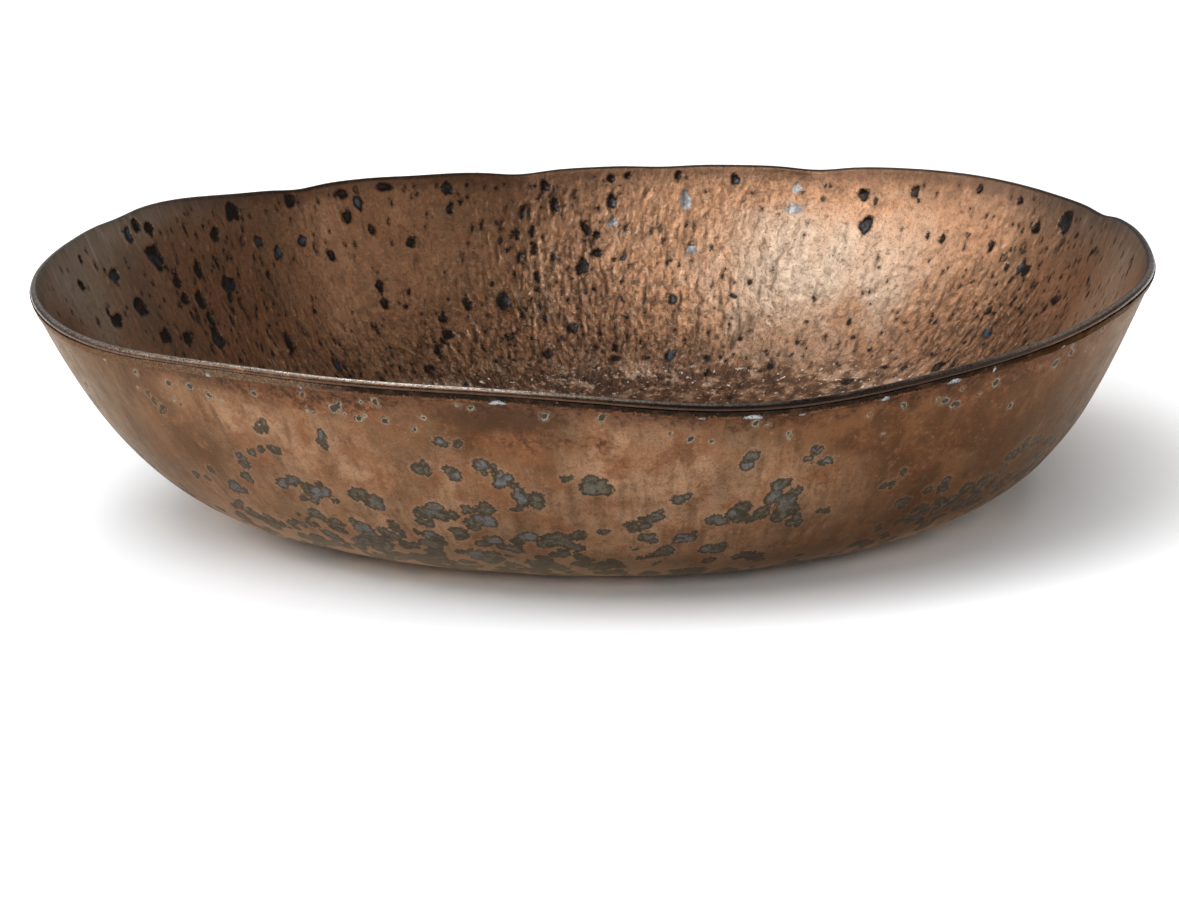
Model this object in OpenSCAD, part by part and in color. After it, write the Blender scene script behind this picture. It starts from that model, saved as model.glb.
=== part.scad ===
// Shallow copper bowl raised by hand, in two skins with a wired rim.
// The origin is the middle of the flat underside, +Z is up, and the sizes are in millimetres.

/* [Bowl] */
// Mean diameter across the rim
bowl_w = 380; // [320:5:440]
// Mean height of the rim above the table
bowl_h = 79.4; // [68:0.1:100]
// Diameter of the flat underside
base_w = 196; // [140:4:210]
// Slope of the wall at the rim, in degrees above level
rim_slope = 66; // [58:1:76]
// How far the level of the underside leads the wall before it turns up
base_sweep = 50; // [20:2:56]
// How far the slope of the rim leads the wall down from the top
rim_sweep = 60; // [40:2:66]

/* [Hand-raised shape] */
// Share of the plan's wander from a true circle
plan_wander = 1; // [0:0.1:1.2]
// Share of the rise and fall of the rim
rim_wander = 1; // [0:0.1:1.2]
// How far round the rim one hammer dip spreads, in degrees
dip_spread = 3.6; // [3:0.2:6]

/* [Skins] */
// Thickness of the copper sheet of both skins
sheet_t = 0.9; // [0.7:0.1:1.2]
// Air gap between the two skins
skin_gap = 1.2; // [1:0.1:2]

/* [Rim] */
// Running clearance round the rim wire
wire_clearance = 0.05; // [0.05:0.01:0.1]
// Gap between the liner's turned edge and the outer skin's edge
seam_gap = 0.1; // [0.05:0.05:0.2]
// Thickness of the strip that covers the seam
band_t = 0.4; // [0.3:0.1:0.6]
// How far the strip reaches above the seam
band_above = 0.8; // [0.4:0.1:0.9]
// How far the strip reaches below the seam
band_below = 2.2; // [1.4:0.2:3]

/* [Hidden] */

// The wander of the plan and of the rim: [cycles in a turn, height of the wave, angle where it peaks].
plan_waves = [[2, 6.8, 42], [3, 2.6, -52], [4, 2, 30], [5, 3.7, -27]];
rim_waves = [[1, 3.5, 143], [2, 3.5, -6], [3, 0.9, 14], [4, 2.7, -20], [5, 0.6, 32], [7, 0.4, 4], [10, 0.5, 12]];

// Dips that the hammer left in the rim: [angle, depth].
rim_dips = [[24, 1.2], [66, 1.4], [84, 0.7], [101, 1.4], [114, 0.3], [130, 1], [164, 0.8]];

segments = 120;     // facets in a turn
rings = 13;         // steps up the wall
base_r = base_w / 2;
wall_t = 2 * sheet_t + skin_gap;
wire_seat_r = skin_gap / 2;
wire_r = wire_seat_r - wire_clearance;
roll_r = wall_t / 2;                             // outer radius of the liner's rolled edge
roll_drop = roll_r + wire_seat_r + seam_gap;     // from the top of the roll down to the outer skin's edge
band_fit = 0.02;                                 // between the strip and what it lies on

along = [cos(rim_slope), sin(rim_slope)];        // up the wall at the rim, as [outwards, up]
across = [sin(rim_slope), -cos(rim_slope)];      // square to the wall at the rim, outwards

// Height at angle a of a list of waves added together, and of the dips.
function waves(list, a, i = 0) =
    i == len(list) ? 0 : list[i][1] * cos(list[i][0] * (a - list[i][2])) + waves(list, a, i + 1);
function dips(a, i = 0) =
    i == len(rim_dips) ? 0 : rim_dips[i][1] * exp(-pow((a - rim_dips[i][0]) / dip_spread, 2)) + dips(a, i + 1);

// Top of the rim at angle a, and the outer skin's edge below it, as [radius, height].
function rim_top(a) = [
    bowl_w / 2 + plan_wander * waves(plan_waves, a),
    bowl_h + rim_wander * (waves(rim_waves, a) - dips(a))];
function skin_edge(a) = rim_top(a) - roll_drop * along;

// The wall's outer face at angle a is a cubic curve from the underside, t = 0, to the outer skin's edge, t = 1.
function handles(a) = [[base_r, 0], [base_r + base_sweep, 0], skin_edge(a) - rim_sweep * along, skin_edge(a)];
function on_curve(p, t) =
    pow(1 - t, 3) * p[0] + 3 * pow(1 - t, 2) * t * p[1] + 3 * (1 - t) * t * t * p[2] + pow(t, 3) * p[3];
function slope_of(p, t) =
    pow(1 - t, 2) * (p[1] - p[0]) + 2 * (1 - t) * t * (p[2] - p[1]) + t * t * (p[3] - p[2]);
function outwards(v) = [v[1], -v[0]] / norm(v);

// The point a depth below the wall's outer face, at angle a and share t of the way up.
function in_wall(a, t, depth) = on_curve(handles(a), t) - depth * outwards(slope_of(handles(a), t));

// The face at that depth, from the underside to the edge.
function face_up(a, depth) = [for (i = [0:rings]) in_wall(a, i / rings, depth)];
function reversed(list) = [for (i = [len(list) - 1:-1:0]) list[i]];

// An arc about the middle of the rim's roll, counted from inwards, 0, over the top, 90, to outwards, 180.
function roll_centre(a) = skin_edge(a) + (wire_seat_r + seam_gap) * along - roll_r * across;
function roll_arc(a, r, from, to, steps) = [
    for (i = [0:steps]) let (b = from + (to - from) * i / steps)
        roll_centre(a) - r * cos(b) * across + r * sin(b) * along];

function at_each_angle() = [for (k = [0:segments - 1]) 360 * k / segments];
function turned(p, a) = [p[0] * cos(a), p[0] * sin(a), p[1]];

// A solid skinned round the Z axis through one outline at each angle. A capped outline starts and ends on a
// level face that spans the axis; any other closes on itself.
module skinned(outlines, capped) {
    n = len(outlines);
    m = len(outlines[0]);
    points = [for (k = [0:n - 1]) for (p = outlines[k]) turned(p, 360 * k / n)];
    walls = [
        for (k = [0:n - 1]) for (j = [0:capped ? m - 2 : m - 1])
            let (k2 = (k + 1) % n, j2 = (j + 1) % m)
                each [[k * m + j, k * m + j2, k2 * m + j2], [k * m + j, k2 * m + j2, k2 * m + j]]];
    caps = capped ? [[for (k = [0:n - 1]) k * m], [for (k = [n - 1:-1:0]) k * m + m - 1]] : [];
    polyhedron(points, concat(walls, caps), convexity = 8);
}

// Outer skin: smooth sheet with the flat underside. Its edge stops under the liner's roll.
module outer_skin() {
    color([0.50, 0.33, 0.24])
        skinned([for (a = at_each_angle()) concat(face_up(a, 0), reversed(face_up(a, sheet_t)))], capped = true);
}

// Inner skin: the pitted liner, whose edge rolls outwards over the wire and stops above the outer skin's edge.
module inner_skin() {
    color([0.62, 0.44, 0.33])
        skinned([for (a = at_each_angle()) concat(
            face_up(a, wall_t - sheet_t),
            roll_arc(a, wire_seat_r, 0, 180, 4),
            [roll_centre(a) + wire_seat_r * (across - along), roll_centre(a) + roll_r * across - wire_seat_r * along],
            roll_arc(a, roll_r, 180, 0, 6),
            reversed(face_up(a, wall_t)))], capped = true);
}

// Rim wire: stiffens the edge, shut inside the roll.
module rim_wire() {
    color([0.72, 0.50, 0.32])
        skinned([for (a = at_each_angle()) [for (b = [0:36:324])
            roll_centre(a) - wire_r * (cos(b) * across + sin(b) * along)]], capped = false);
}

// Rim band: thin strip soldered round the outside, over the seam between the two skins.
module rim_band() {
    low_t = 1 - band_below / (3 * rim_sweep);
    face = band_fit + band_t;
    color([0.20, 0.14, 0.11])
        skinned([for (a = at_each_angle()) let (top = skin_edge(a) + band_above * along) [
            top + band_fit * across, in_wall(a, 1, -band_fit), in_wall(a, low_t, -band_fit),
            in_wall(a, low_t, -face), in_wall(a, 1, -face), top + face * across]], capped = false);
}

outer_skin();
inner_skin();
rim_wire();
rim_band();
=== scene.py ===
"""The looks of a hammered copper bowl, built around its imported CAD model.

Four pieces stand for the four CAD nodes. The pitted inner skin, the blotched outer skin and the rim band are
rebuilt here as finer closed meshes on the same surfaces as the CAD, and the hidden rim wire keeps its CAD mesh.
Lengths are in millimetres until a mesh is made. Angles are in degrees: 0 is +X, to the right, and 90 is +Y,
away from the camera. A length down runs along the wall from the outer skin's edge, and on over the floor.
"""

import math

import bpy
import numpy as np
from mathutils import Matrix, Vector


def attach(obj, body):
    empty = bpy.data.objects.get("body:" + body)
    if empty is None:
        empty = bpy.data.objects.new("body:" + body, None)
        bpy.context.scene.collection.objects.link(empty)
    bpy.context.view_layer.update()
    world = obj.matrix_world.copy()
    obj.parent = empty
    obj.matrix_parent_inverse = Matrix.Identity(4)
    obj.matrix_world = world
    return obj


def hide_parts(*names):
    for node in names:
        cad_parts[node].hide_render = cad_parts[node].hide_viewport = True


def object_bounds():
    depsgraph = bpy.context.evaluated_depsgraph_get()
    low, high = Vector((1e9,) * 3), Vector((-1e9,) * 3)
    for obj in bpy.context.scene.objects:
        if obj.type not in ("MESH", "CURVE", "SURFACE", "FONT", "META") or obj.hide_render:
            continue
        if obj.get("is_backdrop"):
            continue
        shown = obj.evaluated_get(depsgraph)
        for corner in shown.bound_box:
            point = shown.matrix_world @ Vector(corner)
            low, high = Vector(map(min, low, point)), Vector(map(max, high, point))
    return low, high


MM = 0.001
SEED = 2407

# ---- The wall: the same formula and numbers as the CAD source ----

BOWL_W = 380.0
BOWL_H = 79.4
BASE_W = 196.0
RIM_SLOPE = math.radians(66)
BASE_SWEEP = 50.0
RIM_SWEEP = 60.0
DIP_SPREAD = 3.6
SHEET_T = 0.9
SKIN_GAP = 1.2
WALL_T = 2 * SHEET_T + SKIN_GAP
WIRE_SEAT_R = 0.6
ROLL_R = WALL_T / 2
ROLL_DROP = 2.2
BAND_T = 0.4
BAND_FIT = 0.02
BAND_ABOVE = 0.8
BAND_BELOW = 2.2

# each wave: how many around the bowl, its height, and the angle of a crest
PLAN_WAVES = [(2, 6.8, 42), (3, 2.6, -52), (4, 2, 30), (5, 3.7, -27)]
RIM_WAVES = [
    (1, 3.5, 143), (2, 3.5, -6), (3, 0.9, 14), (4, 2.7, -20), (5, 0.6, 32), (7, 0.4, 4), (10, 0.5, 12),
]
# each small dip in the rim: its angle and depth
RIM_DIPS = [
    (24, 1.2), (66, 1.4), (84, 0.7), (101, 1.4), (114, 0.3), (130, 1), (164, 0.8),
]

ALONG = np.array([math.cos(RIM_SLOPE), math.sin(RIM_SLOPE)])  # up the wall at the rim: radius, height
ACROSS = np.array([math.sin(RIM_SLOPE), -math.cos(RIM_SLOPE)])  # outwards through the wall at the rim
CURVE_STEPS = 260
FOOT_DROP = 126.0  # about how far down the wall the floor begins
GRAIN_R = 150.0  # the radius at which the grain has its true width


def waves(table, angle):
    return sum(high * np.cos(np.radians(count * (angle - crest))) for count, high, crest in table)


def apart(angle, at):
    """The signed angle from one to another, between -180 and 180."""
    return (angle - at + 180) % 360 - 180


def patch(angle, drop, spot):
    """What a soft patch adds at a place. It has an angle, a length down, their spreads, and an amount."""
    at, down, turn, fall, much = spot
    return much * np.exp(-((apart(angle, at) / turn) ** 2) - ((drop - down) / fall) ** 2)


def skin_edge(angle):
    """Radius and height of the outer skin's top edge, below the roll."""
    radius = BOWL_W / 2 + waves(PLAN_WAVES, angle)
    dips = sum(deep * np.exp(-((apart(angle, at) / DIP_SPREAD) ** 2)) for at, deep in RIM_DIPS)
    height = BOWL_H + waves(RIM_WAVES, angle) - dips
    return np.stack([radius, height], -1) - ROLL_DROP * ALONG


def wall_lines(angle, depth):
    """The wall's line at each angle, at a depth under its outer face, and its length from the top down."""
    top = skin_edge(angle)
    t = np.linspace(0, 1, CURVE_STEPS)[:, None, None]
    p0 = np.array([BASE_W / 2, 0.0])
    p1 = np.array([BASE_W / 2 + BASE_SWEEP, 0.0])
    p2 = top - RIM_SWEEP * ALONG
    line = (1 - t) ** 3 * p0 + 3 * (1 - t) ** 2 * t * p1 + 3 * (1 - t) * t * t * p2 + t**3 * top
    slope = (1 - t) ** 2 * (p1 - p0) + 2 * (1 - t) * t * (p2 - p1) + t * t * (top - p2)
    outwards = np.stack([slope[..., 1], -slope[..., 0]], -1)
    outwards /= np.linalg.norm(outwards, axis=-1, keepdims=True)
    line = (line - depth * outwards)[::-1]
    steps = np.linalg.norm(np.diff(line, axis=0), axis=-1)
    length = np.concatenate([np.zeros((1, len(angle))), np.cumsum(steps, 0)])
    return line, length


def turned(angle, radius, height):
    """Points in space from angles, radii and heights."""
    turn = np.radians(angle)
    return np.stack([radius * np.cos(turn), radius * np.sin(turn), height + 0 * radius], -1)


def around(count):
    return np.arange(count) * 360.0 / count


def wall_rings(count, depth, drops=None, shares=None):
    """Rings on the wall, at lengths below the top edge or at shares of the way down it."""
    angle = around(count)
    line, length = wall_lines(angle, depth)
    if drops is None:
        drops = np.asarray(shares)[:, None] * length[-1]
    drops = np.broadcast_to(drops, (len(drops), count))
    rings = np.empty((len(drops), count, 3))
    for i in range(count):
        below = np.maximum(drops[:, i], 0)
        radius = np.interp(below, length[:, i], line[:, i, 0])
        height = np.interp(below, length[:, i], line[:, i, 1])
        above = np.maximum(-drops[:, i], 0)
        rings[:, i] = turned(angle[i], radius + above * ALONG[0], height + above * ALONG[1])
    return rings


def rim_rings(count, spots):
    """Rings around the rim, from places given as lengths along and across from the outer skin's edge."""
    angle = around(count)
    edge = skin_edge(angle)
    places = [edge + along * ALONG + across * ACROSS for along, across in spots]
    return np.stack([turned(angle, place[:, 0], place[:, 1]) for place in places])


def roll_spots(radius, bends):
    """Places on a circle around the middle of the roll. A bend of 0 faces inwards, 90 up and 180 outwards."""
    bends = np.radians(bends)
    middle = ROLL_DROP - ROLL_R
    return [(middle + radius * math.sin(b), -ROLL_R - radius * math.cos(b)) for b in bends]


def disc_rings(count, radii, height):
    return np.stack([turned(around(count), np.full(count, r), height) for r in radii])


# ---- Grids of rings, and what is stamped on them ----

RAGGED, RAGGED_ORDERS = 0.2, (2, 3, 4, 5)  # how uneven a pit's outline is, and the waves around it
PIT_SLOPE, PIT_MARGIN = 0.75, 2.2  # how wide a pit's side is, and how far around it its lip is looked for
LIP_OUT, LIP_WIDTH = 0.35, 0.45  # the middle of a pit's lip, outside its edge, and how wide it is

# Each field of a grid before it is painted. lift moves the surface out. pit is how far inside a pit or blotch
# a point is, and tone is its kind. stain is dark stain, and on the roll it marks rubbed wear with a painted
# highlight. warm is pale, and in places it carries painted highlight, painted light and painted shade. veil is
# grey. grit is coarseness on the lining, a red flush on the outside and flakes on the band. roll is how far
# round the rolled edge, in right angles.
PLAIN_FIELDS = {
    "lift": 0.0, "pit": -9.0, "tone": 0.0, "stain_and_roll_highlight": 0.0, "warm": 0.5, "grit": 0.3, "veil": 0.0, "roll": 0.0,
    "drop": 200.0,
}


class Grid:
    """Rings with the same number of points, and the fields painted on them."""

    def __init__(self, rings, drop=None, roll=0.0, inside=False):
        self.at = np.asarray(rings, float)
        rows, count, _ = self.at.shape
        self.fields = {name: np.full((rows, count), value) for name, value in PLAIN_FIELDS.items()}
        self.fields["roll"][:] = np.reshape(roll, (-1, 1))
        if drop is not None:
            self.fields["drop"][:] = drop
        self.side = np.roll(self.at, -1, 1) - np.roll(self.at, 1, 1)
        self.up = np.gradient(self.at, axis=0) if rows > 1 else np.ones_like(self.at)
        self.side /= np.linalg.norm(self.side, axis=-1, keepdims=True)
        self.up /= np.maximum(np.linalg.norm(self.up, axis=-1, keepdims=True), 1e-9)
        self.normal = np.cross(self.up, self.side) if inside else np.cross(self.side, self.up)

    def tint(self, name, spots):
        """Paints a field with soft patches."""
        angle = np.degrees(np.arctan2(self.at[..., 1], self.at[..., 0]))
        for spot in spots:
            self.fields[name] += patch(angle, self.fields["drop"], spot)

    def near(self, centre, reach):
        """The window of points around a centre, with their places in its own plane, or None."""
        rows, count, _ = self.at.shape
        if rows < 2:
            return None
        column = round(math.degrees(math.atan2(centre[1], centre[0])) / 360 * count) % count
        line = self.at[:, column]
        gap = np.linalg.norm(line - centre, axis=1)
        hit = np.nonzero(gap < reach)[0]
        if not len(hit):
            return None
        row = int(gap.argmin())
        pitch = np.linalg.norm(self.at[row, (column + 1) % count] - line[row])
        half = min(int(reach / max(pitch, 1e-6)) + 1, (count - 1) // 2)
        window = np.ix_(np.arange(hit[0], hit[-1] + 1), np.arange(column - half, column + half + 1) % count)
        off = self.at[window] - centre
        return window, off @ self.side[row, column], off @ self.up[row, column]


def windows(grids, centre, reach):
    """For each grid with points near a centre: its fields, the window of points, and their places around it."""
    for grid in grids:
        found = grid.near(centre, reach)
        if found is not None:
            yield grid.fields, *found


def leaning(across, up, wide, tall, lean):
    """Places as shares of the half width and half height of a patch that leans."""
    cos, sin = math.cos(lean), math.sin(lean)
    return (across * cos + up * sin) / (wide / 2), (up * cos - across * sin) / (tall / 2)


def deepen(fields, window, inside, tone):
    """Notes how far inside a pit or blotch the points are, and its tone where it is the deepest so far."""
    deeper = inside > fields["pit"][window]
    fields["tone"][window] = np.where(deeper, tone, fields["tone"][window])
    fields["pit"][window] = np.maximum(fields["pit"][window], inside)


def ragged_edge(rng, turn):
    """A factor near 1 that makes an outline uneven, by direction from its middle."""
    return 1 + sum(
        rng.uniform(0.3, 1) * RAGGED / math.sqrt(k) * np.cos(k * turn + rng.uniform(0, 2 * math.pi))
        for k in RAGGED_ORDERS
    )


def stamp_pit(grids, rng, centre, wide, tall, depth, tone, lean, lip=0.07):
    """A burst hollow with a raised lip. wide and tall are its whole size."""
    seed = rng.integers(1 << 30)
    small = min(wide, tall)
    for fields, window, across, up in windows(grids, centre, max(wide, tall) / 2 + PIT_MARGIN):
        u, v = leaning(across, up, wide, tall, lean)
        edge = ragged_edge(np.random.default_rng(seed), np.arctan2(v, u))
        inside = (edge - np.hypot(u, v)) * small / 2
        fall = np.clip(inside / min(PIT_SLOPE, small / 3), 0, 1)
        dip = depth * fall * fall * (3 - 2 * fall)
        rise = lip * np.exp(-(((inside + LIP_OUT) / LIP_WIDTH) ** 2))
        lift = fields["lift"][window]
        fields["lift"][window] = np.where(dip > 0, np.minimum(lift - 0.2 * dip, lift * 0.4 - dip), lift + rise)
        deepen(fields, window, inside, tone)


def stamp_swell(grids, centre, wide, tall, height, lean):
    """A smooth bump, or a smooth dent when its height is negative."""
    for fields, window, across, up in windows(grids, centre, max(wide, tall) / 2):
        u, v = leaning(across, up, wide, tall, lean)
        fields["lift"][window] += height * np.clip(1 - (u**2 + v**2), 0, 1) ** 2


def stamp_streak(grids, centre, wide, tall, dark, groove, lean):
    """A shallow groove down the wall, stained darker."""
    for fields, window, across, up in windows(grids, centre, max(wide, tall) / 2):
        u, v = leaning(across, up, wide, tall, lean)
        shape = np.clip(1 - (u**2 + v**2), 0, 1) ** 1.5
        fields["lift"][window] -= groove * shape
        fields["stain_and_roll_highlight"][window] = np.maximum(fields["stain_and_roll_highlight"][window], dark * shape)


def stamp_blotch(grids, rng, centre, size, petals, tone):
    """A flower-shaped patch of patina: a few overlapping discs."""
    discs = []
    for _ in range(petals):
        turn, out = rng.uniform(0, 2 * math.pi), size * rng.uniform(0.1, 0.42)
        discs.append((out * math.cos(turn), 0.85 * out * math.sin(turn), size * rng.uniform(0.2, 0.4)))
    for fields, window, across, up in windows(grids, centre, size * 1.3 + 1.5):
        for x, y, radius in discs:
            deepen(fields, window, radius - np.hypot(across - x, up - y), tone)


# ---- Meshes ----


def stitch(first, second, start_a, start_b):
    """Faces between two rings whose counts are the same, or one twice the other."""
    a, b = start_a + np.arange(first), start_b + np.arange(second)
    if first == second:
        a2, b2 = np.roll(a, -1), np.roll(b, -1)
        return np.stack([a, a2, b2, b], -1).tolist()
    if first < second:
        return [face[::-1] for face in stitch(second, first, start_b, start_a)]
    even, odd, after = a[::2], a[1::2], np.roll(a[::2], -1)
    b2 = np.roll(b, -1)
    return (
        np.stack([even, odd, b], -1).tolist()
        + np.stack([odd, b2, b], -1).tolist()
        + np.stack([odd, after, b2], -1).tolist()
    )


def make_piece(name, grids, closed=False):
    """One closed mesh from grids in order. Its two ends are closed with fans, or joined to each other."""
    rings, starts, faces = [], [], []
    values = {key: [] for key in grids[0].fields if key != "lift"}
    total = 0
    for grid in grids:
        points = grid.at + grid.fields["lift"][..., None] * grid.normal
        for row, ring in enumerate(points):
            rings.append(ring)
            starts.append(total)
            total += len(ring)
            for key, held in values.items():
                held.append(grid.fields[key][row])
    for i in range(len(rings) - 1):
        faces += stitch(len(rings[i]), len(rings[i + 1]), starts[i], starts[i + 1])
    if closed:
        faces += stitch(len(rings[-1]), len(rings[0]), starts[-1], starts[0])
    else:
        first, last = 0, len(starts) - 1
        for end in (first, last):
            ring = starts[end] + np.arange(len(rings[end]))
            centre = np.full(len(ring), total)
            fan = np.stack([np.roll(ring, -1), ring, centre], -1)
            faces += (fan if end == first else fan[:, ::-1]).tolist()
            rings.append(rings[end].mean(0)[None])
            total += 1
            for held in values.values():
                held.append(held[end][:1])
    points = np.concatenate(rings)
    points[:, 2] = np.maximum(points[:, 2], 0.0)  # nothing reaches below the floor
    thirds = np.array([face[:3] for face in faces] + [[face[0], *face[2:]] for face in faces if len(face) == 4])
    a, b, c = (points[thirds[:, k]] for k in range(3))
    if np.einsum("ij,ij->i", a, np.cross(b, c)).sum() < 0:
        faces = [face[::-1] for face in faces]
    mesh = bpy.data.meshes.new(name)
    mesh.from_pydata((points * MM).tolist(), [], faces)
    mesh.polygons.foreach_set("use_smooth", np.ones(len(mesh.polygons), bool))
    for key, held in values.items():
        layer = mesh.attributes.new(key, "FLOAT", "POINT")
        layer.data.foreach_set("value", np.concatenate(held).astype(np.float32))
    return mesh, points, bpy.data.objects.new(name, mesh)


def add_grain(mesh, points):
    """Coordinates around the bowl and up its wall, with no seam."""
    radius = np.maximum(np.hypot(points[:, 0], points[:, 1]), 1e-6)
    on_floor = radius < BASE_W / 2
    share = np.where(on_floor, radius / (BASE_W / 2), 1.0) * GRAIN_R / radius
    up = np.where(on_floor, 0.0, np.hypot(radius - BASE_W / 2, points[:, 2]))
    grain = np.stack([points[:, 0] * share, points[:, 1] * share, up], -1)
    layer = mesh.attributes.new("grain", "FLOAT_VECTOR", "POINT")
    layer.data.foreach_set("vector", grain.astype(np.float32).ravel())


# ---- The inner skin ----

INNER_N = 1536
FINE_SHARE = 0.62  # how far down the wall the finest rings go
WALL_ROWS = 96
FOOT_ROWS = 56


def wall_grid(count, depth, shares, inside=False):
    """A grid on the wall, at shares of the way down it."""
    length = wall_lines(around(count), depth)[1][-1]
    return Grid(wall_rings(count, depth, shares=shares), drop=shares[:, None] * length, inside=inside)


def disc_grids(table, height, inside=False):
    """Grids on a flat middle, from how many points and which radii each has."""
    return [
        Grid(disc_rings(count, radii, height), drop=FOOT_DROP + BASE_W / 2 - np.c_[radii], inside=inside)
        for count, radii in table
    ]


def inner_grids():
    """The inner skin's rings: (those that are seen, all of them in order from the middle of the floor)."""
    floor = [
        (24, [1, 2, 3]),
        (48, [4, 5, 6.2]),
        (96, np.arange(7.5, 15, 1.2)),
        (192, np.arange(15.5, 30, 1.1)),
        (384, np.arange(30.5, 60, 1)),
        (768, np.append(np.arange(60.5, 97.5, 0.9), BASE_W / 2)),
    ]
    seen = disc_grids(floor, WALL_T, inside=True)
    low = np.linspace(1, FINE_SHARE, FOOT_ROWS, endpoint=False)[1:]
    seen.append(wall_grid(INNER_N // 2, WALL_T, low, inside=True))
    seen.append(wall_grid(INNER_N, WALL_T, np.linspace(FINE_SHARE, 0, WALL_ROWS), inside=True))
    bends = np.array([0, 20, 40, 58, 74, 90, 106, 122, 140, 160, 180])
    seen.append(Grid(rim_rings(INNER_N, roll_spots(ROLL_R, bends)), drop=0.0, roll=bends / 90.0, inside=True))
    middle = ROLL_DROP - ROLL_R
    under = WALL_T - SHEET_T  # how deep the lining's hidden face is
    rolled_back = [  # the roll's hidden side, round the wire, coarser by half each time
        [(middle - WIRE_SEAT_R, 0.0)],
        [(middle - WIRE_SEAT_R, WIRE_SEAT_R - ROLL_R)],
        roll_spots(WIRE_SEAT_R, [180, 150]),
        roll_spots(WIRE_SEAT_R, [120, 90, 60, 30, 0]),
    ]
    back = [Grid(rim_rings(INNER_N >> k, spots), roll=2.0) for k, spots in enumerate(rolled_back)]
    back += [
        Grid(wall_rings(INNER_N // 8, under, shares=[0, 0.03])),
        Grid(wall_rings(INNER_N // 16, under, shares=np.linspace(0.08, 1, 18))),
        Grid(disc_rings(INNER_N // 16, [80.0, 60.0], under)),
        Grid(disc_rings(INNER_N // 32, [40.0, 20.0], under)),
        Grid(disc_rings(INNER_N // 64, [8.0], under)),
    ]
    return seen, seen + back


def place(angle, drop, depth=WALL_T):
    """A point on the wall, or on the floor, at an angle and a length down."""
    line, length = wall_lines(np.array([float(angle)]), depth)
    if drop > length[-1, 0]:
        return turned(angle, np.array(max(BASE_W / 2 - (drop - length[-1, 0]), 0.5)), line[-1, 0, 1])
    radius = np.interp(drop, length[:, 0], line[:, 0, 0])
    height = np.interp(drop, length[:, 0], line[:, 0, 1])
    return turned(angle, np.array(radius), height)


# how pale a pit's patina is; a hollow has the wall's own colour, and a ring is pale round a dark middle. A
# pearl pit is painted pale grey where the light's highlight falls on the far wall: a painted reflection of the
# highlight
HOLLOW, BLACK, MIXED, GREY, BLUE, PEARL_HIGHLIGHT, RING = -1.0, 0.0, 0.55, 0.8, 1.0, 2.0, 2.0
SMALL_TONES = [BLACK] * 4 + [HOLLOW] * 3 + [BLUE, GREY, MIXED]

# the largest pits: angle, length down, width, height, and tone, which is black where none is given
LANDMARK_PITS = [
    (31, 6, 9, 10, MIXED), (161, 16, 9, 10, MIXED), (164, 5, 5, 6, BLUE), (170, 16, 8, 5, GREY),
    (148, 13, 6, 6), (143, 5, 9, 8), (154, 25, 5, 8), (159, 27, 5, 6), (149, 32, 9, 7, MIXED),
    (140, 17, 5, 5, BLUE), (137, 22, 5, 6, BLUE), (132, 18, 5, 5, BLUE), (132, 2, 7, 6), (162, 3, 5, 6),
    (160, 6, 5, 6), (124, 3, 6, 4), (122, 7, 5, 5, GREY), (118, 2, 7, 4), (124, 12, 5, 5), (121, 18, 4, 4),
    (116, 24, 4, 5), (128, 25, 4, 5), (110, 4, 5, 6, MIXED), (110, 12, 4, 5), (98, 4, 4, 5), (97, 12, 3.5, 6.5),
    (101, 13, 3, 5), (102, 22, 3, 5), (100, 21, 3, 5), (102, 31, 3, 5), (100, 28, 3, 5), (100, 39, 3, 5),
    (94, 37, 5, 8, MIXED), (90, 3, 3.5, 3.5), (90, 12, 4.5, 6, MIXED), (90, 20, 4, 4.5, PEARL_HIGHLIGHT), (92, 25, 3, 4),
    (92, 32, 4, 4), (88, 2, 3, 3), (81, 12, 5, 8, PEARL_HIGHLIGHT), (82, 2, 3, 5), (80, 31, 4.5, 5, PEARL_HIGHLIGHT),
    (68, 6, 4, 4.5, PEARL_HIGHLIGHT), (68, 14, 7, 5, PEARL_HIGHLIGHT), (60, 9, 5, 5), (59, 21, 5.5, 8.5, MIXED), (54, 7, 4, 5),
    (46, 3, 3, 4), (40, 4, 3, 4), (36, 12, 5, 5), (42, 23, 3, 5), (49, 24, 3, 4), (35, 28, 5, 5),
    (159, 34, 5, 5), (156, 36, 6, 8), (168, 30, 8, 8), (174, 30, 8, 6), (166, 43, 8, 6), (162, 47, 6, 5),
    (156, 51, 8, 8, MIXED), (122, 40, 4, 5), (122, 47, 4, 5), (110, 50, 4.5, 6), (105, 49, 6, 8, MIXED),
    (114, 55, 4, 5), (114, 62, 5, 5), (119, 77, 5, 5), (100, 72, 5, 5), (96, 62, 4, 5), (82, 51, 3.5, 4, GREY),
    (74, 50, 3, 2.5, GREY), (90, 72, 3, 4), (90, 77, 5, 4), (76, 78, 3, 4), (66, 82, 3.5, 5), (38, 47, 4, 4),
    (36, 55, 6, 5, BLUE), (26, 33, 8, 4), (40, 75, 5, 6), (52, 92, 4, 6),
]
PIT_CHANCE = 0.16  # how likely a random pit is to stay where no others gather
# where random pits gather: angle, length down, their spreads, and how much likelier a pit is
PIT_CROWDS = [
    (98, 18, 8, 22, 0.9), (97, 62, 10, 22, 0.6), (152, 30, 12, 40, 0.6), (120, 6, 14, 8, 0.5),
    (33, 30, 11, 40, 0.8), (70, 74, 25, 12, 0.3), (125, 62, 20, 16, 0.4), (-150, 40, 25, 40, 0.5),
    (-95, 30, 12, 40, 0.8), (-55, 45, 18, 40, 0.5), (0, 45, 16, 35, 0.5),
]
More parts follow.
